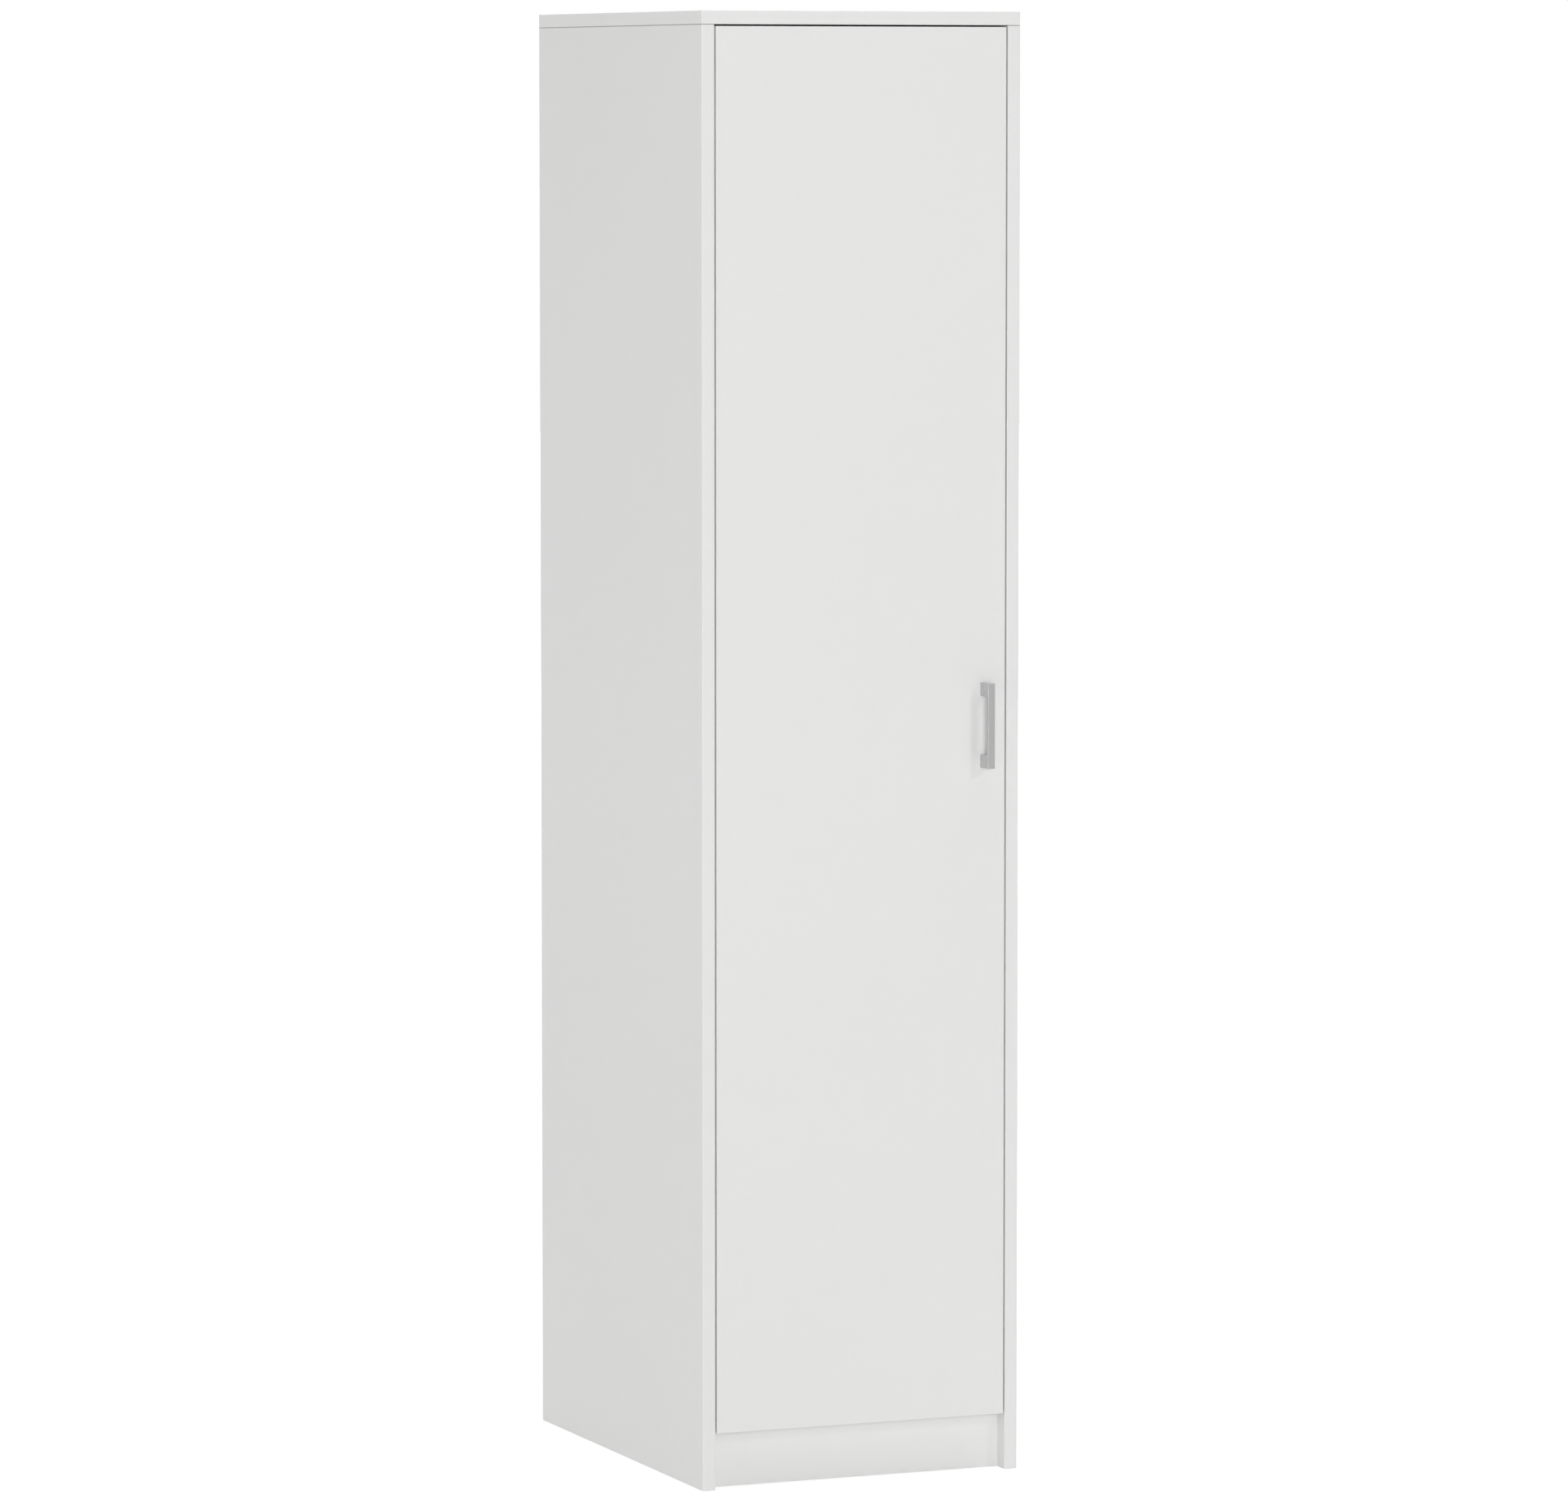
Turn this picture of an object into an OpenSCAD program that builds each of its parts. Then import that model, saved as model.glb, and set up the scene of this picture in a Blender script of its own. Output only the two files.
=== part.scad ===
// Narrow wardrobe: one tall inset door on four concealed hinges, a hat shelf,
// a clothes rail and a recessed plinth. All sizes are in millimetres.
// X runs to the right, Y runs from the front to the back, Z is up, and the
// origin is on the floor in the middle of the whole outline, handle included.

/* [Carcass] */
// Overall height
wardrobe_h = 1955; // [1700:5:2200]
// Overall width
wardrobe_w = 456; // [400:1:600]
// Depth of the carcass without the handle
wardrobe_d = 600; // [480:5:650]
// Thickness of the sides, top, bottom, shelf and plinth
board_t = 18; // [16:0.5:22]
// Rounding along the banded edges
edge_r = 1; // [0.5:0.1:2]

/* [Plinth and bottom] */
// Height of the plinth
plinth_h = 80; // [60:1:120]
// Distance from the carcass front to the plinth
plinth_setback = 25; // [25:1:60]
// Distance from the carcass front to the bottom and the shelf
inner_setback = 25; // [25:0.5:40]

/* [Back panel] */
// Thickness of the back panel
back_t = 3.2; // [3:0.1:5]
// Distance from the rear edges to the back panel
back_inset = 15; // [10:1:30]
// Depth of the groove that holds the back panel
groove_depth = 8; // [5:0.5:10]
// Play of the back panel in its groove, in width and depth
groove_play = 0.4; // [0.2:0.1:1]

/* [Door] */
// Thickness of the door
door_t = 18; // [18:0.5:19]
// Gap round the door at the top and sides
door_gap = 2; // [1.8:0.1:3]
// Height of the door's lower edge above the floor
door_foot = 76; // [60:1:110]
// Play left between the stop pads and the boards behind them
pad_play = 0.3; // [0.1:0.1:1]
// Diameter of the stop pads
pad_d = 10; // [6:0.5:14]
// Distance from the door's free edge to the middle of the stop pads
pad_from_edge = 20; // [12:1:40]

/* [Inside] */
// Clear height over the hat shelf
hat_space_h = 300; // [220:5:400]
// Distance from the shelf's underside to the middle of the clothes rail
rail_drop = 60; // [45:1:90]
// Height of the oval rail's section
rail_h = 30; // [25:1:35]
// Width of the oval rail's section
rail_w = 15; // [12:0.5:18]
// Wall of the rail
rail_wall = 1; // [0.8:0.1:2]

/* [Handle] */
// Distance between the handle's screw holes
handle_spacing = 96; // [64:32:160]
// Height of each handle post
post_h = 18; // [12:1:24]
// Width of the handle
handle_w = 10; // [8:0.5:14]
// Reach of the handle in front of the door
handle_reach = 26; // [22:1:35]
// Thickness of the handle's grip bar
grip_t = 4; // [3:0.5:6]
// Rounding along the handle's upright edges
handle_edge_r = 0.6; // [0.3:0.1:1.2]
// Distance from the door's free edge to the middle of the handle
handle_from_edge = 31; // [25:1:60]
// Height of the handle's middle above the middle of the door
handle_rise = 2; // [-300:1:300]

/* [Hinges] */
// Number of hinges
hinge_count = 4; // [2:1:5]
// Distance from the door's ends to the outer hinges
hinge_from_end = 100; // [80:1:140]
// Diameter of the hinge cup
cup_d = 35; // [35:0.5:36]
// Depth of the cup's bore in the door
cup_depth = 12; // [11.5:0.1:12.5]
// Door left between its edge and the cup's bore
cup_edge = 4; // [3.8:0.1:4.5]
// Distance between the two cup screws
cup_screw_spacing = 48; // [46:0.5:52]
// Diameter of the lever pins
pin_d = 2.5; // [2:0.1:2.8]

/* [Fixings] */
// Diameter of the cam drums
cam_d = 15; // [14:0.1:16]
// Depth of the cam drums
cam_depth = 12.5; // [10:0.1:13]
// Distance from a joint to the middle of its cam drum
cam_reach = 34; // [30:0.5:40]
// Diameter of the wooden dowels
dowel_d = 8; // [6:0.5:10]
// Length of the wooden dowels
dowel_l = 30; // [25:1:35]

/* [Hidden] */
$fn = 48;
HINGE_PIECES = ["hinge_plate", "hinge_arm", "outer_lever", "inner_lever", "hinge_cup"];

white = "whitesmoke";
steel = "lightsteelblue";
zinc = "silver";

// Main levels and places
side_h = wardrobe_h - board_t;
inner_w = wardrobe_w - 2 * board_t;
half_inner = inner_w / 2;
bottom_top = plinth_h + board_t;
shelf_bottom = side_h - hat_space_h - board_t;
rail_z = shelf_bottom - rail_drop;
rail_y = wardrobe_d / 2;
groove_w = back_t + groove_play;
groove_y = wardrobe_d - back_inset - back_t - groove_play / 2;
panel_y = groove_y + groove_play / 2;
front_y = (handle_reach - wardrobe_d) / 2;

// Plays: round a bore, past its end, of a thread in its hole and round a screw's shank
bore_play = 0.1;
end_play = 0.5;
thread_play = 0.2;
shank_play = 0.6;
// How far a cut runs past the face that it starts from
over = 1;

// Screw heads: cross slot and countersink
slot_w = 0.8;
slot_depth = 0.9;
small_slot = 3.2;
large_slot = 4.5;
sink_depth = 1.7;
sink_play = 0.2;
head_below = 0.1;

// Door, its handle's screws and its stop pads
door_w = inner_w - 2 * door_gap;
door_top = side_h - door_gap;
door_h = door_top - door_foot;
handle_x = half_inner - door_gap - handle_from_edge;
handle_z = (door_foot + door_top) / 2 + handle_rise;
handle_screw_d = 4;
handle_screw_grip = 10;
handle_head_d = 8.5;
handle_head_h = 2.2;
pad_x = half_inner - door_gap - pad_from_edge;
pad_t = inner_setback - door_t - pad_play;

// Cam bolts, cam drums and dowels: the first bolt's distance from the front,
// the last one's from the rear, and each dowel's distance from its bolt
fix_front = 60;
fix_rear = 110;
dowel_step = 32;
fix_y = [fix_front, wardrobe_d - fix_rear];
dowel_y = [fix_y[0] + dowel_step, fix_y[1] - dowel_step];
dowel_in = 11;
cam_bolt_d = 5;
cam_bolt_thread = 11;
cam_bolt_bore_d = 8;
cam_collar_t = 2;
cam_collar_play = 0.4;
cam_neck_d = 4;
cam_head_d = 5.6;
claw_play = 0.6;
drum_slot_l = 9;
drum_slot_w = 1.6;
drum_slot_depth = 2.2;

// Clothes rail and its end brackets
rail_flange_t = 2.5;
rail_flange_w = 21;
rail_flange_end = 7;
rail_end_play = 0.3;
rail_length = inner_w - 2 * (rail_flange_t + rail_end_play);
rail_socket = 12;
rail_socket_wall = 2;
rail_fit = 0.3;
rail_hole_step = 26;
rail_screw_d = 3.5;
rail_screw_l = 14;

// Angle that ties the wardrobe to the wall
wall_leg = 30;
wall_bracket_w = 25;
wall_bracket_t = 2;
wall_hole_d = 6;
wall_hole_drop = 18;
wall_panel_play = 2;
wall_screw_d = 4;
wall_screw_l = 14;
wall_screw_reach = 18;
wall_head_d = 8;
wall_head_h = 2;

// Concealed hinge, seen from above in the hinge's own frame: X from the side's
// inner face into the opening, Y from the carcass front to the back.
hinge_first = door_foot + hinge_from_end;
hinge_step = (door_h - 2 * hinge_from_end) / (hinge_count - 1);
cup_x = door_gap + cup_edge + cup_d / 2;
pin_a = [11, 33];
pin_b = [cup_x - 12.3, 11.2];
pin_c = [36, 23.6];
pin_d_at = [cup_x - 6, 14.1];
pin_r = pin_d / 2;
pin_play = 0.05;
pin_seat_z = 10;
side_play = 0.3;

// Mounting plate on the side, with the block that the arm is screwed to
plate_t = 2.5;
plate_hole_y = 57;
plate_hole_z = 16;
plate_wing_w = 13;
plate_body_w = 16;
plate_screw_d = 5;
plate_screw_l = 11;
plate_head_d = 9.5;
plate_head_h = 1.6;
block_top = 12;
block_w = 11;
block_inset = 3;

// Arm: a channel of bent sheet, its two cheeks apart by the levers' width
arm_sheet = 1.2;
arm_cheek_z = 7;
arm_cheek_w = 7.6;
arm_cheek_x = block_top + arm_sheet - arm_cheek_w / 2;
arm_web_x = block_top + arm_sheet / 2;
arm_bend_y = 46;
arm_end_y = 80;
arm_knee = [26, 32.6];
arm_nose_r = 4;
arm_cheek_path = [[arm_cheek_x, arm_end_y], [arm_cheek_x, arm_bend_y], pin_a, arm_knee, pin_c];
arm_web_path = [[arm_web_x, arm_end_y], [arm_web_x, arm_bend_y], [17.5, 36.4], [27.6, 35.6], [34, 29.2]];
arm_screw_ys = [53, 70];
arm_screw_d = 5;
arm_screw_tip = 5.5;
arm_head_d = 8;
arm_head_h = 1.8;

// Levers: the outer one between pins A and B, the inner one between pin C and
// an eye round pin D. The eye is oversize, since this pivot is the open one.
outer_path = [pin_a, [21.5, 27.9], [25.1, 20], [24.15, 15], [23.6, 11.6], [21.6, 9.3], [16.5, 8.9], pin_b];
outer_lever_t = 2.8;
outer_half_z = 4;
hub_a_r = 3.4;
hub_b_r = 2.9;
eye_d_at = [cup_x - 4.9, 13.35];
eye_play = 1.65;
eye_wall = 0.95;
inner_path = [pin_c, [30.4, 17], [24.5, 13], eye_d_at];
inner_lever_w = 5;
inner_cheek_z = 5;
inner_cheek_t = 1.5;
hub_c_r = 2.9;
hub_half_z = arm_cheek_z - side_play;

// Cup, with the notch in its rim that the outer lever swings into
cup_wall = 1;
cup_floor_t = 0.9;
pocket_half_z = 8.7;
notch_half_z = 7.2;
notch_y = 16.4;
flange_t = 1;
flange_lip = 1.2;
ear_r = 5.5;
ear_x = 6;
cup_screw_d = 3.5;
cup_screw_l = 11;
cup_head_d = 7;
cup_head_h = 1.4;

// Places a carcass drawing, whose Y starts at the carcass front
module in_place() translate([0, front_y, 0]) children();

// Once on the left and once mirrored to the right
module both_sides() for (turn = [0, 1]) mirror([turn, 0, 0]) children();

// Rounded rectangle from a corner, drawn as squares and circles
module round_rect(w, d, r) {
    translate([r, 0]) square([w - 2 * r, d]);
    translate([0, r]) square([w, d - 2 * r]);
    for (x = [r, w - r], y = [r, d - r])
        translate([x, y]) circle(r);
}

// Upright slot outline with round ends, centred
module oval(h, w) {
    for (s = [-1, 1])
        translate([0, s * (h - w) / 2]) circle(w / 2);
    square([w, h - w], center = true);
}

// Unit vector a quarter turn to the left of the way from p to q
function left_of(p, q) = [p[1] - q[1], q[0] - p[0]] / norm(q - p);

// Point i of a bent line, moved aside so that both edges next to it lie off by side
function mitre(points, i, side) =
    let (
        last = len(points) - 1,
        before = left_of(points[max(i - 1, 0)], points[max(i, 1)]),
        after = left_of(points[min(i, last - 1)], points[min(i + 1, last)]),
        sum = before + after
    )
    points[i] + sum * 2 * side / (sum * sum);

// Sheet of thickness w bent along a run of points
module strip2d(points, w) {
    last = len(points) - 1;
    polygon(concat(
        [for (i = [0 : last]) mitre(points, i, w / 2)],
        [for (i = [last : -1 : 0]) mitre(points, i, -w / 2)]
    ));
}

// Solid from z0 up by h
module slab(z0, h) translate([0, 0, z0]) linear_extrude(h) children();

// Solid between -h and +h
module both_ways(h) translate([0, 0, -h]) linear_extrude(2 * h) children();

// A pair of plates of thickness t whose inner faces are at -z and +z
module plate_pair(z, t) {
    slab(z, t) children();
    slab(-z - t, t) children();
}

// Stands a section drawn in Y and Z so that it runs along X
module along_x(length) rotate([90, 0, 90]) linear_extrude(length) children();

// Rod along X from x0 to x1
module x_rod(x0, x1, d) translate([x0, 0, 0]) rotate([0, 90, 0]) cylinder(d = d, h = x1 - x0);

// Rod along Y from y0 to y1
module y_rod(y0, y1, d) translate([0, y0, 0]) rotate([-90, 0, 0]) cylinder(d = d, h = y1 - y0);

// Cross recess in a head whose face is at X = face
module cross_slot(face, size) {
    for (turn = [0, 90])
        rotate([turn, 0, 0])
            translate([face - slot_depth, -size / 2, -slot_w / 2])
                cube([slot_depth + over, size, slot_w]);
}

// Screw along X: its head starts at X = 0 and its shank runs to -length
module screw(length, d, head_d, head_h, slot) {
    difference() {
        union() {
            x_rod(-length, 0, d);
            x_rod(0, head_h, head_d);
        }
        cross_slot(head_h, slot);
    }
}

// Board banded and rounded along all its edges, from a corner
module banded_board(w, d, h) {
    intersection() {
        linear_extrude(h) round_rect(w, d, edge_r);
        translate([0, d, 0]) rotate([90, 0, 0]) linear_extrude(d) round_rect(w, h, edge_r);
        translate([0, 0, h]) rotate([0, 90, 0]) linear_extrude(w) round_rect(h, d, edge_r);
    }
}

// Lying board between the sides, with its front edge rounded above and below
module inner_board(z, y1) {
    translate([-half_inner, inner_setback, z + board_t])
        rotate([0, 90, 0])
            linear_extrude(inner_w) round_rect(board_t, y1 - inner_setback, edge_r);
}

// Joint frames. In each, X points along the bolt or dowel into the board that
// holds the drum, X = 0 is the joint, and +Z is the face that the drum enters.
module level_joints(z) both_sides() translate([-half_inner, 0, z]) mirror([0, 0, 1]) children();
module top_joints() {
    both_sides()
        translate([-half_inner - board_t / 2, 0, side_h])
            rotate([0, 90, 0])
                children();
}
module plinth_joints() {
    both_sides()
        translate([-half_inner, plinth_setback + board_t / 2, plinth_h / 2])
            rotate([-90, 0, 0])
                children();
}

// Shelf, bottom and top have the same row of fixings from front to rear
module row_joints() {
    level_joints(shelf_bottom + board_t / 2) children();
    level_joints(plinth_h + board_t / 2) children();
    top_joints() children();
}

module cam_places() {
    row_joints() for (y = fix_y) translate([0, y, 0]) children();
    plinth_joints() children();
}

module dowel_places() {
    row_joints() for (y = dowel_y) translate([0, y, 0]) children();
    plinth_joints() for (s = [-1, 1]) translate([0, s * plinth_h / 4, 0]) children();
}

// What is bored into the boards at each joint
module joint_cuts() {
    cam_places() {
        x_rod(0, cam_reach, cam_bolt_bore_d);
        x_rod(-cam_bolt_thread - end_play, 0, cam_bolt_d);
        translate([cam_reach, 0, board_t / 2 - cam_depth - end_play])
            cylinder(d = cam_d + 2 * bore_play, h = cam_depth + end_play + over);
    }
    dowel_places() x_rod(-dowel_in - end_play, dowel_l - dowel_in + end_play, dowel_d + 2 * bore_play);
}

// Groove round the inside for the back panel
module back_groove() {
    translate([-half_inner - groove_depth, groove_y, bottom_top - groove_depth])
        cube([inner_w + 2 * groove_depth, groove_w, side_h - bottom_top + 2 * groove_depth]);
}

// Side board on the left: its groove runs out at both ends
module side_board() {
    difference() {
        translate([-wardrobe_w / 2, 0, 0]) banded_board(board_t, wardrobe_d, side_h);
        translate([-half_inner - groove_depth, groove_y, -over])
            cube([groove_depth + over, groove_w, side_h + 2 * over]);
    }
}

module left_side() {
    color(white) difference() {
        in_place() side_board();
        in_place() joint_cuts();
        in_place() rail_screw_cuts();
        at_hinges() plate_screw_places()
            x_rod(-plate_screw_l - end_play, over, plate_screw_d + 2 * bore_play);
    }
}

module right_side() {
    color(white) in_place() difference() {
        mirror([1, 0, 0]) side_board();
        joint_cuts();
        rail_screw_cuts();
    }
}

module top_panel() {
    color(white) in_place() difference() {
        translate([-wardrobe_w / 2, 0, side_h]) banded_board(wardrobe_w, wardrobe_d, board_t);
        joint_cuts();
        back_groove();
        at_wall_bracket() translate([0, -wall_screw_reach, -over])
            cylinder(d = wall_screw_d + 2 * bore_play, h = wall_screw_l + end_play + over);
    }
}

module bottom_panel() {
    color(white) in_place() difference() {
        inner_board(plinth_h, wardrobe_d);
        joint_cuts();
        back_groove();
    }
}

module plinth() {
    color(white) in_place() difference() {
        translate([-half_inner, plinth_setback, 0]) cube([inner_w, board_t, plinth_h]);
        joint_cuts();
    }
}

module hat_shelf() {
    color(white) in_place() difference() {
        inner_board(shelf_bottom, groove_y);
        joint_cuts();
    }
}

module back_panel() {
    edge = groove_depth - groove_play;
    color(white) in_place() difference() {
        translate([-half_inner - edge, panel_y, bottom_top - edge])
            cube([inner_w + 2 * edge, back_t, side_h - bottom_top + 2 * edge]);
        at_wall_bracket() translate([0, 0, -wall_hole_drop])
            y_rod(-over, back_t + over, wall_hole_d + wall_panel_play);
    }
}

// Cam drum with its cross slot and the claw that draws the bolt's head in
module cam_drum() {
    claw_w = cam_neck_d + claw_play;
    head_room = cam_head_d / 2 + end_play;
    difference() {
        translate([0, 0, board_t / 2 - cam_depth]) cylinder(d = cam_d, h = cam_depth);
        translate([-cam_d / 2 - over, -claw_w / 2, -claw_w / 2]) cube([cam_d / 2 + over, claw_w, claw_w]);
        x_rod(-head_room, head_room, cam_head_d + claw_play);
        for (turn = [0, 90])
            rotate([0, 0, turn])
                translate([-drum_slot_l / 2, -drum_slot_w / 2, board_t / 2 - drum_slot_depth])
                    cube([drum_slot_l, drum_slot_w, drum_slot_depth + over]);
    }
}

module cam_drums() color(zinc) in_place() cam_places() translate([cam_reach, 0, 0]) cam_drum();

module cam_bolts() {
    head_x = cam_reach - cam_head_d / 2;
    color(steel) in_place() cam_places() {
        x_rod(-cam_bolt_thread, 0, cam_bolt_d - thread_play);
        x_rod(0, cam_collar_t, cam_bolt_bore_d - cam_collar_play);
        x_rod(0, head_x, cam_neck_d);
        x_rod(head_x, cam_reach, cam_head_d);
    }
}

module dowels() color("burlywood") in_place() dowel_places() x_rod(-dowel_in, dowel_l - dowel_in, dowel_d);

// Clothes rail and its open end brackets
module clothes_rail() {
    color("lightgray") in_place()
        translate([-rail_length / 2, rail_y, rail_z])
            along_x(rail_length) difference() {
                oval(rail_h, rail_w);
                oval(rail_h - 2 * rail_wall, rail_w - 2 * rail_wall);
            }
}

module at_rail_end() translate([-half_inner, rail_y, rail_z]) children();
module rail_screws_of_end() at_rail_end() for (s = [-1, 1]) translate([0, 0, s * rail_hole_step]) children();

module rail_screw_cuts() {
    both_sides() rail_screws_of_end()
        x_rod(-rail_screw_l - end_play, over, rail_screw_d + 2 * bore_play);
}

module rail_bracket() {
    inside_w = rail_w + 2 * rail_fit;
    inside_h = rail_h + 2 * rail_fit;
    difference() {
        at_rail_end() {
            along_x(rail_flange_t) oval(2 * (rail_hole_step + rail_flange_end), rail_flange_w);
            along_x(rail_flange_t + rail_socket) difference() {
                oval(inside_h + 2 * rail_socket_wall, inside_w + 2 * rail_socket_wall);
                oval(inside_h, inside_w);
                translate([-inside_w / 2, 0]) square([inside_w, inside_h]);
            }
        }
        rail_screws_of_end() {
            x_rod(-over, rail_flange_t + over, rail_screw_d + shank_play);
            translate([rail_flange_t - sink_depth, 0, 0]) cone(rail_screw_d / 2, sink_depth + over);
        }
    }
}

// Cone along X that widens by as much as it is long
module cone(r, length) rotate([0, 90, 0]) cylinder(r1 = r, r2 = r + length, h = length);

module left_rail_bracket() color(zinc) in_place() rail_bracket();
module right_rail_bracket() color(zinc) in_place() mirror([1, 0, 0]) rail_bracket();

module rail_bracket_screws() {
    head_x = rail_flange_t - sink_depth;
    color(steel) in_place() both_sides() rail_screws_of_end() difference() {
        union() {
            x_rod(-rail_screw_l, head_x + sink_play, rail_screw_d - thread_play);
            translate([head_x, 0, 0]) cone(rail_screw_d / 2 - sink_play, sink_depth - head_below);
        }
        cross_slot(rail_flange_t - head_below, small_slot);
    }
}

// Angle under the top at the back: its corner lies against the back panel
module at_wall_bracket() translate([0, panel_y, side_h]) children();

module wall_bracket() {
    color(zinc) in_place() at_wall_bracket() difference() {
        translate([-wall_bracket_w / 2, 0, 0]) along_x(wall_bracket_w) polygon([
            [0, 0],
            [-wall_leg, 0],
            [-wall_leg, -wall_bracket_t],
            [-wall_bracket_t, -wall_bracket_t],
            [-wall_bracket_t, -wall_leg],
            [0, -wall_leg]
        ]);
        translate([0, -wall_screw_reach, -wall_bracket_t - over])
            cylinder(d = wall_screw_d + shank_play, h = wall_bracket_t + 2 * over);
        translate([0, 0, -wall_hole_drop]) y_rod(-wall_bracket_t - over, over, wall_hole_d);
    }
}

module wall_bracket_screw() {
    length = wall_bracket_t + wall_screw_l;
    color(steel) in_place() at_wall_bracket()
        translate([0, -wall_screw_reach, -wall_bracket_t])
            rotate([0, 90, 0])
                screw(length, wall_screw_d - thread_play, wall_head_d, wall_head_h, small_slot);
}

// One hinge's own frame, on the left side's inner face: hinge 1 is the lowest
module at_hinge(i) in_place() translate([-half_inner, 0, hinge_first + (i - 1) * hinge_step]) children();

// All the hinges' frames
module at_hinges() for (i = [1 : hinge_count]) at_hinge(i) children();

module plate_screw_places() for (s = [-1, 1]) translate([0, plate_hole_y, s * plate_hole_z]) children();
module arm_screw_places() for (y = arm_screw_ys) translate([0, y, 0]) children();

module hinge_plate(i) {
    block_y = arm_bend_y + block_inset;
    color(zinc) at_hinge(i) difference() {
        union() {
            along_x(plate_t) translate([plate_hole_y, 0]) oval(2 * plate_hole_z + plate_wing_w, plate_wing_w);
            along_x(plate_t)
                translate([(arm_bend_y + arm_end_y) / 2, 0])
                    rotate(90) oval(arm_end_y - arm_bend_y, plate_body_w);
            translate([0, block_y, -block_w / 2])
                cube([block_top, arm_end_y - block_inset - block_y, block_w]);
        }
        plate_screw_places() x_rod(-over, plate_t + over, plate_screw_d + shank_play);
        arm_screw_places() x_rod(arm_screw_tip - end_play, block_top + over, arm_screw_d + 2 * bore_play);
    }
}

module plate_screws() {
    color(steel) at_hinges() plate_screw_places() translate([plate_t, 0, 0])
        screw(plate_t + plate_screw_l, plate_screw_d, plate_head_d, plate_head_h, large_slot);
}

// Hinge arm: a bent channel that carries pins A and C
module hinge_arm(i) {
    color(zinc) at_hinge(i) difference() {
        union() {
            plate_pair(arm_cheek_z, arm_sheet) {
                strip2d(arm_cheek_path, arm_cheek_w);
                translate(pin_c) circle(arm_nose_r);
            }
            both_ways(arm_cheek_z + arm_sheet) strip2d(arm_web_path, arm_sheet);
        }
        pin_holes([pin_a, pin_c]);
        arm_screw_places() x_rod(block_top - over, block_top + arm_sheet + over, arm_screw_d + shank_play);
    }
}

// Bores for lever pins at the given points
module pin_holes(points) for (p = points) translate(p) both_ways(pin_seat_z) circle(pin_r + pin_play);

module arm_screws() {
    head_x = block_top + arm_sheet;
    color(steel) at_hinges() arm_screw_places() translate([head_x, 0, 0])
        screw(head_x - arm_screw_tip, arm_screw_d, arm_head_d, arm_head_h, large_slot);
}

module arm_pins() {
    color(steel) at_hinges() for (p = [pin_a, pin_c])
        translate(p) both_ways(arm_cheek_z + arm_sheet) circle(pin_r);
}

// The two levers that carry the cup
module outer_lever(i) {
    color(zinc) at_hinge(i) difference() {
        union() {
            both_ways(outer_half_z) strip2d(outer_path, outer_lever_t);
            translate(pin_a) both_ways(hub_half_z) circle(hub_a_r);
            translate(pin_b) both_ways(outer_half_z) circle(hub_b_r);
        }
        pin_holes([pin_a, pin_b]);
    }
}

module inner_lever(i) {
    eye_r = pin_r + eye_play;
    color(zinc) at_hinge(i) difference() {
        union() {
            plate_pair(inner_cheek_z, inner_cheek_t) {
                strip2d(inner_path, inner_lever_w);
                translate(eye_d_at) circle(eye_r + eye_wall);
            }
            translate(pin_c) both_ways(hub_half_z) circle(hub_c_r);
        }
        pin_holes([pin_c]);
        translate(eye_d_at) both_ways(pin_seat_z) circle(eye_r);
    }
}

// Cup, sunk in the door from behind, with its flange. It is drawn with its
// middle at the origin and Z from the door's front to the back.
module in_cup() translate([cup_x, 0, 0]) rotate([-90, 0, 0]) children();

module cup_flange2d() {
    circle(cup_d / 2 + flange_lip);
    for (s = [-1, 1])
        translate([ear_x, s * cup_screw_spacing / 2]) circle(ear_r);
    translate([ear_x - ear_r, -cup_screw_spacing / 2]) square([2 * ear_r, cup_screw_spacing]);
}

module hinge_cup(i) {
    floor_z = door_t - cup_depth;
    color(zinc) at_hinge(i) difference() {
        in_cup() {
            translate([0, 0, floor_z + bore_play])
                cylinder(r = cup_d / 2 - bore_play, h = cup_depth - bore_play);
            translate([0, 0, door_t]) linear_extrude(flange_t) cup_flange2d();
        }
        in_cup() intersection() {
            translate([0, 0, floor_z + cup_floor_t]) cylinder(r = cup_d / 2 - cup_wall, h = cup_depth + over);
            translate([-cup_d / 2, -pocket_half_z, 0]) cube([cup_d, 2 * pocket_half_z, door_t + 2 * over]);
        }
        in_cup() translate([-cup_d, -notch_half_z, notch_y]) cube([cup_d, 2 * notch_half_z, cup_depth]);
        cup_screw_places() x_rod(-cup_depth, flange_t + over, cup_screw_d + shank_play);
        pin_holes([pin_b, pin_d_at]);
    }
}

module cup_pins() {
    stub_z = inner_cheek_z - side_play;
    color(steel) at_hinges() {
        translate(pin_b) both_ways(pin_seat_z) circle(pin_r);
        translate(pin_d_at) plate_pair(stub_z, pin_seat_z - stub_z) circle(pin_r);
    }
}

module cup_screw_places() {
    for (s = [-1, 1])
        translate([cup_x + ear_x, door_t, s * cup_screw_spacing / 2]) rotate([0, 0, 90]) children();
}

module cup_screws() {
    color(steel) at_hinges() cup_screw_places() translate([flange_t, 0, 0])
        screw(flange_t + cup_screw_l, cup_screw_d, cup_head_d, cup_head_h, small_slot);
}

// Door and what rides on it
module door() {
    color(white) difference() {
        in_place() translate([-door_w / 2, 0, door_foot]) banded_board(door_w, door_t, door_h);
        at_hinges() {
            in_cup() translate([0, 0, door_t - cup_depth]) cylinder(d = cup_d, h = cup_depth + over);
            cup_screw_places() x_rod(-cup_screw_l - end_play, over, cup_screw_d + 2 * bore_play);
        }
        handle_screw_places() y_rod(-over, door_t + over, handle_screw_d + shank_play);
    }
}

module handle_screw_places() {
    in_place() for (s = [-1, 1]) translate([handle_x, 0, handle_z + s * handle_spacing / 2]) children();
}

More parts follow.
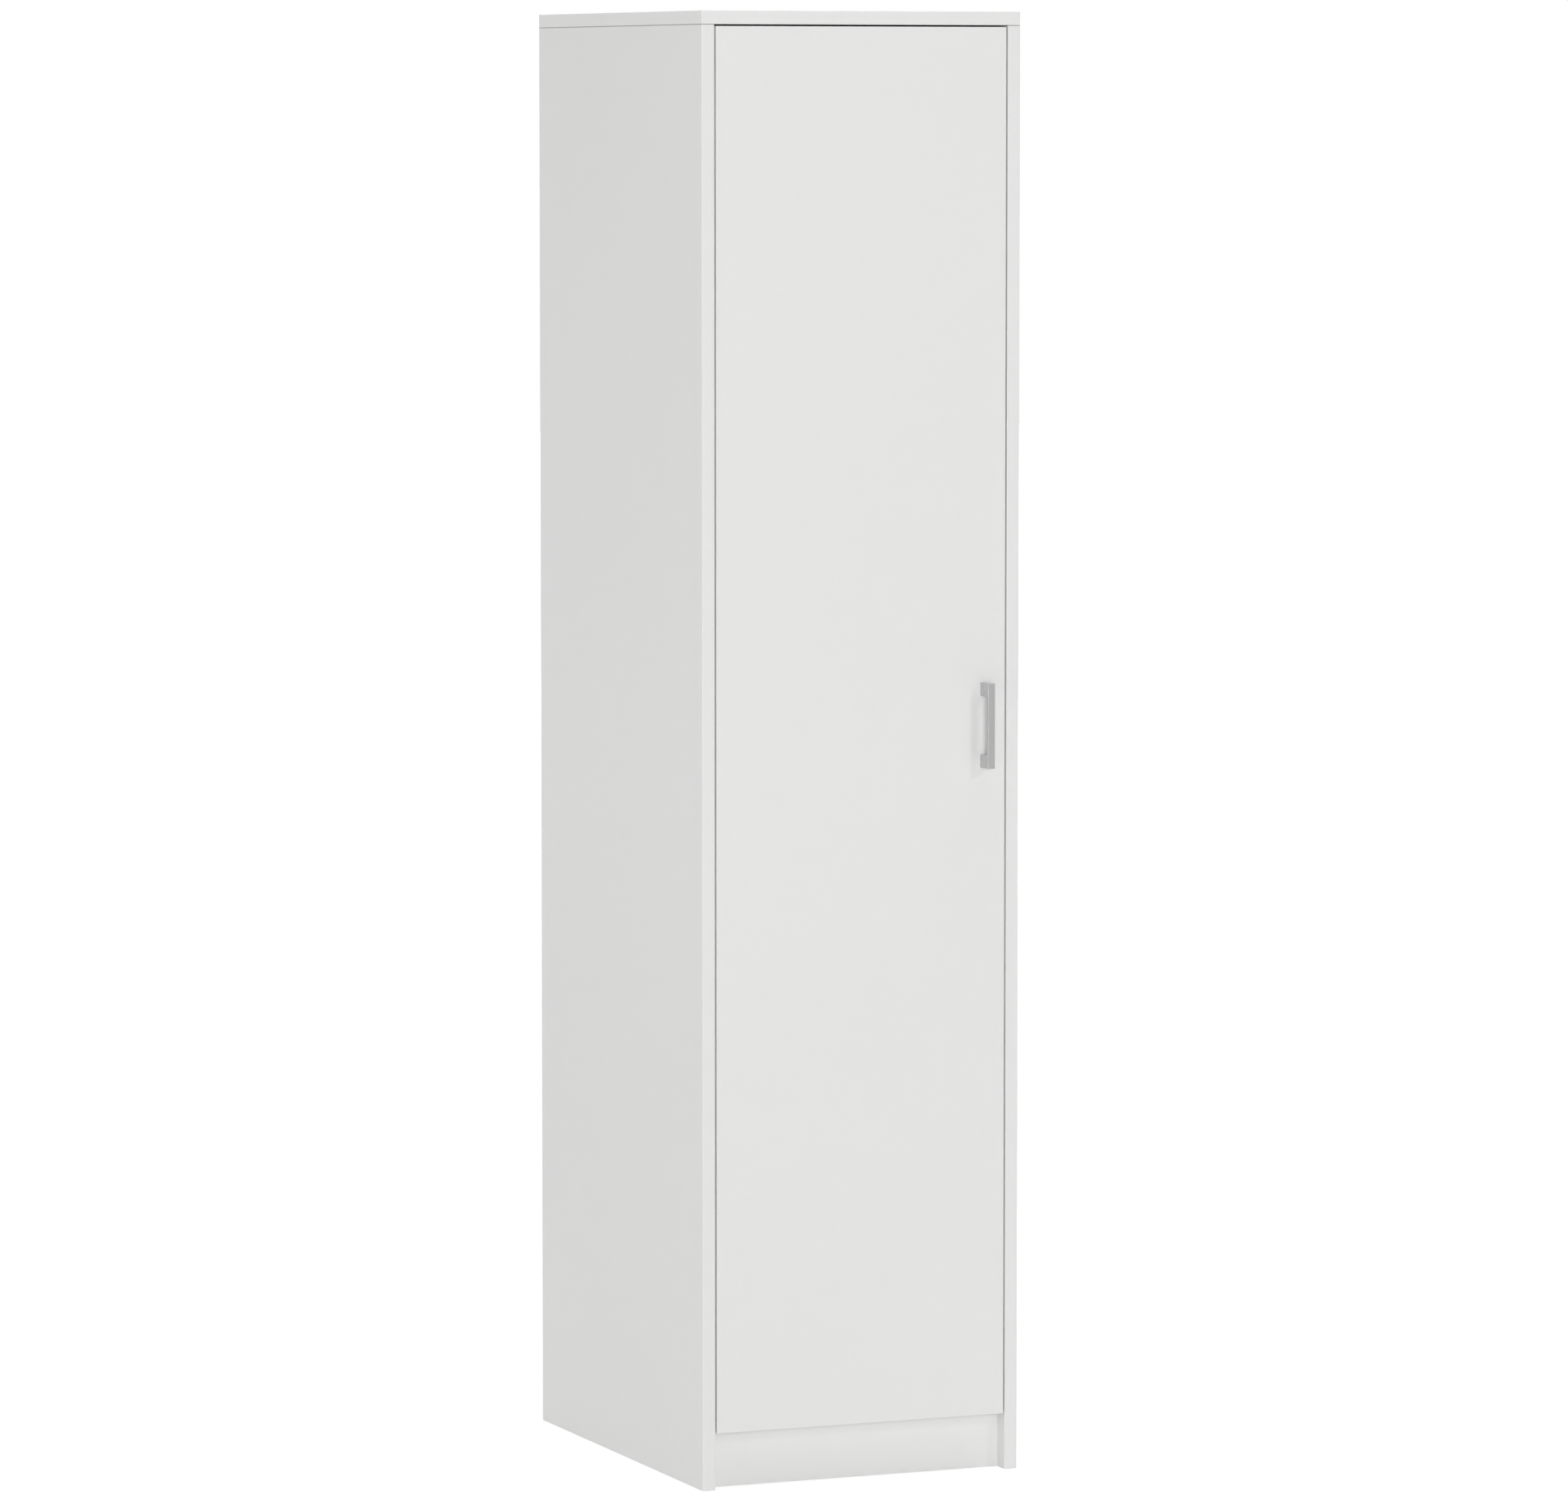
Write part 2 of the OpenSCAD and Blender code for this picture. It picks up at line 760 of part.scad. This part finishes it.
// Square bridge handle, its upright edges rounded in front
module door_handle() {
    handle_l = handle_spacing + post_h;
    color("silver") difference() {
        in_place() translate([handle_x - handle_w / 2, -handle_reach, handle_z - handle_l / 2]) difference() {
            linear_extrude(handle_l) intersection() {
                round_rect(handle_w, handle_reach + handle_w, handle_edge_r);
                square([handle_w, handle_reach]);
            }
            translate([-over, grip_t, post_h])
                cube([handle_w + 2 * over, handle_reach, handle_l - 2 * post_h]);
        }
        handle_screw_places() y_rod(-handle_screw_grip - end_play, over, handle_screw_d + 2 * bore_play);
    }
}

module handle_screws() {
    color(steel) handle_screw_places() translate([0, door_t, 0]) rotate([0, 0, 90])
        screw(door_t + handle_screw_grip, handle_screw_d, handle_head_d, handle_head_h, large_slot);
}

module stop_pads() {
    color("gainsboro") in_place() for (z = [plinth_h, shelf_bottom])
        translate([pad_x, 0, z + board_t / 2]) y_rod(door_t, door_t + pad_t, pad_d);
}

left_side();
right_side();
top_panel();
bottom_panel();
plinth();
back_panel();
hat_shelf();
clothes_rail();
left_rail_bracket();
right_rail_bracket();
rail_bracket_screws();
cam_drums();
cam_bolts();
dowels();
wall_bracket();
wall_bracket_screw();
plate_screws();
arm_screws();
arm_pins();
cup_pins();
cup_screws();
door();
door_handle();
handle_screws();
stop_pads();
for (i = [1 : hinge_count]) {
    hinge_plate(i);
    hinge_arm(i);
    outer_lever(i);
    inner_lever(i);
    hinge_cup(i);
}
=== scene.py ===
import bpy
from math import cos, radians, sin
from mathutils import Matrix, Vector


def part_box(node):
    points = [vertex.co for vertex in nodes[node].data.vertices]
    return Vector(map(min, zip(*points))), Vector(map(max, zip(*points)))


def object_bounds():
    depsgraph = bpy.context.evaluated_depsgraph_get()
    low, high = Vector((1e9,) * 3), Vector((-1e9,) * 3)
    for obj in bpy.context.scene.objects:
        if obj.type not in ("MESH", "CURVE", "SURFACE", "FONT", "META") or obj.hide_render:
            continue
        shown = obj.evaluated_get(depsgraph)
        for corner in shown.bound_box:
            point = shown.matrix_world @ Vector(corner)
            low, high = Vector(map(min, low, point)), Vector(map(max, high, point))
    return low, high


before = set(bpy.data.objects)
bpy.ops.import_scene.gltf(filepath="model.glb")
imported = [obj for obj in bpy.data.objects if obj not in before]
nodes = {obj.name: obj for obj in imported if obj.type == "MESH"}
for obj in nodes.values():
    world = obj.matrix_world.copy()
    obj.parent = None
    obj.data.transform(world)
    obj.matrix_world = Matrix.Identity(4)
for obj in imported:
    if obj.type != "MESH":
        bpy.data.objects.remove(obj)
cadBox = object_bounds()
print("stage 1: the wardrobe's frame is loaded,", len(nodes), "nodes")


# the photograph's camera, solved from the carcass edges

shotSettings = {
    "place": (-3.9968, -9.6521, 1.8443),       # metres
    "tilt": 85.115,            # degrees up from looking straight down
    "turn": -22.531,           # degrees round the upright axis
    "lens": 176.83,            # mm
    "sensorWidth": 36,         # mm
}

shotData = bpy.data.cameras.new("shot")
shotData.lens = shotSettings["lens"]
shotData.sensor_width = shotSettings["sensorWidth"]
shotCamera = bpy.data.objects.new("shot", shotData)
shotCamera.location = shotSettings["place"]
shotCamera.rotation_euler = (radians(shotSettings["tilt"]), 0, radians(shotSettings["turn"]))
bpy.context.scene.collection.objects.link(shotCamera)
bpy.context.scene.camera = shotCamera


# small helpers for the materials

noiseRange = (0.25, 0.75)      # most of a noise pattern lies between these


def setInputs(node, values):                   # From_Min stands for the socket "From Min"
    for key, value in values.items():
        node.inputs[key.replace("_", " ")].default_value = value


def startMaterial(name, color, **settings):
    material = bpy.data.materials.new(name)
    material.use_nodes = True
    tree = material.node_tree
    shader = tree.nodes["Principled BSDF"]
    shader.inputs["Base Color"].default_value = (*color, 1)
    setInputs(shader, settings)
    return material, tree, shader


def addNode(tree, kind, **settings):
    node = tree.nodes.new(kind)
    setInputs(node, settings)
    return node


def feed(tree, value, socket):                 # value: a node's output, a number or a colour
    if isinstance(value, bpy.types.NodeSocket):
        tree.links.new(value, socket)
    else:
        socket.default_value = (*value, 1) if isinstance(value, tuple) else value


def stretchedPlace(tree, stretch=(1, 1, 1)):   # object coordinates, in metres, scaled per axis
    place = addNode(tree, "ShaderNodeTexCoord")
    scaled = addNode(tree, "ShaderNodeMapping", Scale=stretch)
    tree.links.new(place.outputs["Object"], scaled.inputs["Vector"])
    return scaled.outputs["Vector"]


def addNoise(tree, place, scale=1, detail=3):
    noise = addNode(tree, "ShaderNodeTexNoise", Scale=scale, Detail=detail)
    tree.links.new(place, noise.inputs["Vector"])
    return noise.outputs["Fac"]


def addMath(tree, operation, first, second=0.0):
    node = addNode(tree, "ShaderNodeMath")
    node.operation = operation
    feed(tree, first, node.inputs[0])
    feed(tree, second, node.inputs[1])
    return node.outputs[0]


def mapRange(tree, value, given, wanted):      # both ranges are (low, high)
    ranger = addNode(tree, "ShaderNodeMapRange", From_Min=given[0], From_Max=given[1],
                     To_Min=wanted[0], To_Max=wanted[1])
    tree.links.new(value, ranger.inputs["Value"])
    return ranger.outputs["Result"]


def blendColors(tree, factor, low, high):
    mix = addNode(tree, "ShaderNodeMix")
    mix.data_type = "RGBA"                     # its colours are inputs 6 and 7, and output 2
    feed(tree, factor, mix.inputs[0])
    feed(tree, low, mix.inputs[6])
    feed(tree, high, mix.inputs[7])
    return mix.outputs[2]


def addTexture(tree, shader, pattern, look):   # gloss and bump follow the same pattern
    tree.links.new(mapRange(tree, pattern, noiseRange, look["rough"]), shader.inputs["Roughness"])
    bump = addNode(tree, "ShaderNodeBump", Strength=look["bump"], Distance=look["height"])
    tree.links.new(pattern, bump.inputs["Height"])
    tree.links.new(bump.outputs["Normal"], shader.inputs["Normal"])


# white melamine on chipboard, and the thin hardboard of the back

melamineLook = {
    "light": (0.868, 0.868, 0.862),
    "dark": (0.852, 0.852, 0.846),
    "cloudScale": 2.2,         # soft unevenness of the printed paper, per metre
    "cloudDetail": 4,
    "grainScale": 1500,        # pearl texture of the press plate
    "grainDetail": 2,
    "rough": (0.36, 0.46),
    "bump": 0.12,
    "height": 0.00008,
}
hardboardLook = dict(melamineLook, light=(0.84, 0.84, 0.83), dark=(0.80, 0.80, 0.79),
                     grainScale=700, rough=(0.5, 0.62), bump=0.25)     # greyer and duller
# painted shade: a dark colour laid into the joints under the top and along the top's front edge,
# standing in for the shade in these narrow gaps
paintedShadeLook = {
    "level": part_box("left_side")[1][2],        # where the top lies on the sides, in metres
    "inside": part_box("right_side")[0][0],      # the sides' inner faces, from the middle
    "front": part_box("top_panel")[0][1] + 0.001,    # the end of the top's rounded front edge
    "half": 0.0004,            # half the line's height
    "color": (0.30, 0.29, 0.28),
}


def addPaintedShade(tree, place, color, look):         # painted shade: a dark line in the joints where the top lies on the sides, and along the underside of the top's front edge over the door
    axes = addNode(tree, "ShaderNodeSeparateXYZ")
    tree.links.new(place, axes.inputs[0])
    height = addMath(tree, "SUBTRACT", axes.outputs["Z"], look["level"])
    atLevel = addMath(tree, "LESS_THAN", addMath(tree, "ABSOLUTE", height), look["half"])
    sideways = addMath(tree, "ABSOLUTE", axes.outputs["X"])
    overSide = addMath(tree, "GREATER_THAN", sideways, look["inside"])
    inFront = addMath(tree, "LESS_THAN", axes.outputs["Y"], look["front"])
    inPaintedShade = addMath(tree, "MULTIPLY", atLevel, addMath(tree, "MAXIMUM", overSide, inFront))
    return blendColors(tree, inPaintedShade, color, look["color"])


def makeMelamine(name, look):
    material, tree, shader = startMaterial(name, look["light"])
    place = stretchedPlace(tree)
    clouds = addNoise(tree, place, look["cloudScale"], look["cloudDetail"])
    paper = blendColors(tree, clouds, look["dark"], look["light"])
    # the paper's colour with the painted shade line laid in
    tree.links.new(addPaintedShade(tree, place, paper, paintedShadeLook), shader.inputs["Base Color"])
    grain = addNoise(tree, place, look["grainScale"], look["grainDetail"])
    addTexture(tree, shader, grain, look)
    return material


melamine = makeMelamine("whiteMelamine", melamineLook)
hardboard = makeMelamine("whiteHardboard", hardboardLook)


# the handle's lacquer, the metals and the beech of the dowels

# stretch: fineness along x, y and z, per metre; rough: roughness from low to high
streakLooks = {
    "silverLacquer": {"low": (0.35, 0.35, 0.35), "high": (0.39, 0.39, 0.39),
                      "rough": (0.22, 0.30), "stretch": (900, 900, 25), "bump": 0.10,
                      "height": 0.00003, "metallic": 0.0, "coat": 1.0, "coatIor": 1.8},
    "railChrome": {"low": (0.72, 0.73, 0.74), "high": (0.78, 0.79, 0.80),
                   "rough": (0.07, 0.12), "stretch": (20, 500, 500), "bump": 0.03,
                   "height": 0.00002},
    "nickelPlate": {"low": (0.58, 0.57, 0.55), "high": (0.66, 0.65, 0.63),
                    "rough": (0.20, 0.32), "stretch": (350, 350, 350), "bump": 0.05,
                    "height": 0.00003},
    "castZinc": {"low": (0.50, 0.50, 0.50), "high": (0.60, 0.60, 0.60),
                 "rough": (0.38, 0.52), "stretch": (600, 600, 600), "bump": 0.18,
                 "height": 0.00005},
    "zincedSteel": {"low": (0.52, 0.53, 0.55), "high": (0.62, 0.63, 0.65),
                    "rough": (0.28, 0.40), "stretch": (450, 450, 450), "bump": 0.08,
                    "height": 0.00003},
    "beech": {"low": (0.52, 0.33, 0.18), "high": (0.66, 0.46, 0.28), "rough": (0.55, 0.7),
              "stretch": (60, 900, 900), "detail": 4, "bump": 0.2, "height": 0.0001,
              "metallic": 0.0},
}


def makeStreaked(name, look):
    material, tree, shader = startMaterial(name, look["high"], Metallic=look.get("metallic", 1.0),
                                           Coat_Weight=look.get("coat", 0.0),
                                           Coat_IOR=look.get("coatIor", 1.5))
    place = stretchedPlace(tree, look["stretch"])
    streaks = addNoise(tree, place, detail=look.get("detail", 3))
    tint = blendColors(tree, streaks, look["low"], look["high"])
    tree.links.new(tint, shader.inputs["Base Color"])
    addTexture(tree, shader, streaks, look)
    return material


streaked = {name: makeStreaked(name, look) for name, look in streakLooks.items()}


# soft clear pads that the door closes on

padLook = {
    "color": (0.80, 0.80, 0.78),
    "clear": 0.35,             # share of the light that goes through
    "ior": 1.49,
    "skinScale": 900,          # per metre
    "skinDetail": 2,
    "rough": (0.35, 0.5),
    "bump": 0.1,
    "height": 0.00005,
}


def makePad(look):
    material, tree, shader = startMaterial("clearPad", look["color"], IOR=look["ior"],
                                           Transmission_Weight=look["clear"])
    skin = addNoise(tree, stretchedPlace(tree), look["skinScale"], look["skinDetail"])
    addTexture(tree, shader, skin, look)
    return material


clearPad = makePad(padLook)


# which finish each of the wardrobe's own nodes wears

boards = ["left_side", "right_side", "top_panel", "bottom_panel", "plinth", "hat_shelf", "door"]
hingeStarts = ("hinge_", "outer_lever", "inner_lever")
finishes = {
    "back_panel": hardboard,
    "door_handle": streaked["silverLacquer"],
    "clothes_rail": streaked["railChrome"],
    "left_rail_bracket": streaked["castZinc"],
    "right_rail_bracket": streaked["castZinc"],
    "cam_drums": streaked["castZinc"],
    "dowels": streaked["beech"],
    "stop_pads": clearPad,
}
finishes.update({board: melamine for board in boards})
for name, node in nodes.items():
    finish = finishes.get(name)
    if finish is None:                         # hinges are nickel, all other fixings are zinced
        finish = streaked["nickelPlate" if name.startswith(hingeStarts) else "zincedSteel"]
    node.data.materials.clear()
    node.data.materials.append(finish)
print("stage 2: finishes are on")


# floor, white surroundings and soft lamps

roomLook = {
    "floorSize": 60,           # metres
    "floorColor": (0.92, 0.92, 0.92),
    "floorRoughness": 0.9,
    "glow": (0.45, 1.0),       # lifts the floor to white where the camera sees it, near and far
    "reach": (3.8, 10),        # what near and far are, in metres from the wardrobe
    "ambient": 0.18,
}


def seenDirectly(tree):                        # 1 for camera, glossy and transmission rays
    rays = addNode(tree, "ShaderNodeLightPath")
    seen = rays.outputs["Is Camera Ray"]
    for other in ("Is Glossy Ray", "Is Transmission Ray"):
        seen = addMath(tree, "MAXIMUM", seen, rays.outputs[other])
    return seen


def makeFloor(look):
    half = look["floorSize"] / 2
    corners = [(-half, -half, 0), (half, -half, 0), (half, half, 0), (-half, half, 0)]
    mesh = bpy.data.meshes.new("floor")
    mesh.from_pydata(corners, [], [(0, 1, 2, 3)])
    floor = bpy.data.objects.new("floor", mesh)
    bpy.context.scene.collection.objects.link(floor)
    material, tree, shader = startMaterial("paleFloor", look["floorColor"],
                                           Roughness=look["floorRoughness"],
                                           Emission_Color=(1, 1, 1, 1))
    away = addNode(tree, "ShaderNodeVectorMath")
    away.operation = "LENGTH"                  # distance from the wardrobe's middle
    tree.links.new(stretchedPlace(tree), away.inputs[0])
    ramp = mapRange(tree, away.outputs["Value"], look["reach"], look["glow"])
    glow = addMath(tree, "MULTIPLY", ramp, seenDirectly(tree))
    tree.links.new(glow, shader.inputs["Emission Strength"])
    mesh.materials.append(material)


def makeSurroundings(look):
    world = bpy.data.worlds.new("whiteRoom")
    bpy.context.scene.world = world
    world.use_nodes = True
    tree = world.node_tree
    tree.nodes.clear()
    white = (1, 1, 1, 1)
    lit = addNode(tree, "ShaderNodeBackground", Strength=look["ambient"], Color=white)
    seen = addNode(tree, "ShaderNodeBackground", Strength=1.0, Color=white)
    choose = addNode(tree, "ShaderNodeMixShader")
    tree.links.new(seenDirectly(tree), choose.inputs[0])
    tree.links.new(lit.outputs[0], choose.inputs[1])
    tree.links.new(seen.outputs[0], choose.inputs[2])
    out = addNode(tree, "ShaderNodeOutputWorld")
    tree.links.new(choose.outputs[0], out.inputs["Surface"])


# around: degrees from the door's normal, to the right; power in watts; sizes in metres
lampLooks = {
    "keyLamp": {"around": 30, "up": 25, "distance": 10, "size": 1.8, "power": 97},
    "frontFill": {"around": -14, "up": 4, "distance": 9, "size": 3, "power": 282},
    "sideFill": {"around": -88, "up": 3, "distance": 14, "size": 5, "power": 525},
    "rearFill": {"around": 135, "up": 12, "distance": 14, "size": 5, "power": 700},
    "overhead": {"around": 0, "up": 88, "distance": 7, "size": 4, "power": 180},
}


def addLamp(name, look, aim):
    data = bpy.data.lights.new(name, "AREA")
    data.shape = "DISK"
    data.size = look["size"]
    data.energy = look["power"]
    lamp = bpy.data.objects.new(name, data)
    around, up = radians(look["around"]), radians(look["up"])
    toLamp = Vector((sin(around) * cos(up), -cos(around) * cos(up), sin(up)))
    lamp.location = aim + toLamp * look["distance"]
    lamp.rotation_euler = toLamp.to_track_quat("Z", "Y").to_euler()
    bpy.context.scene.collection.objects.link(lamp)


makeFloor(roomLook)
makeSurroundings(roomLook)
middle = (cadBox[0] + cadBox[1]) / 2
for name, look in lampLooks.items():
    addLamp(name, look, middle)
bpy.context.scene.view_settings.view_transform = "Standard"
print("stage 3: floor, surroundings and", len(lampLooks), "lamps are in")
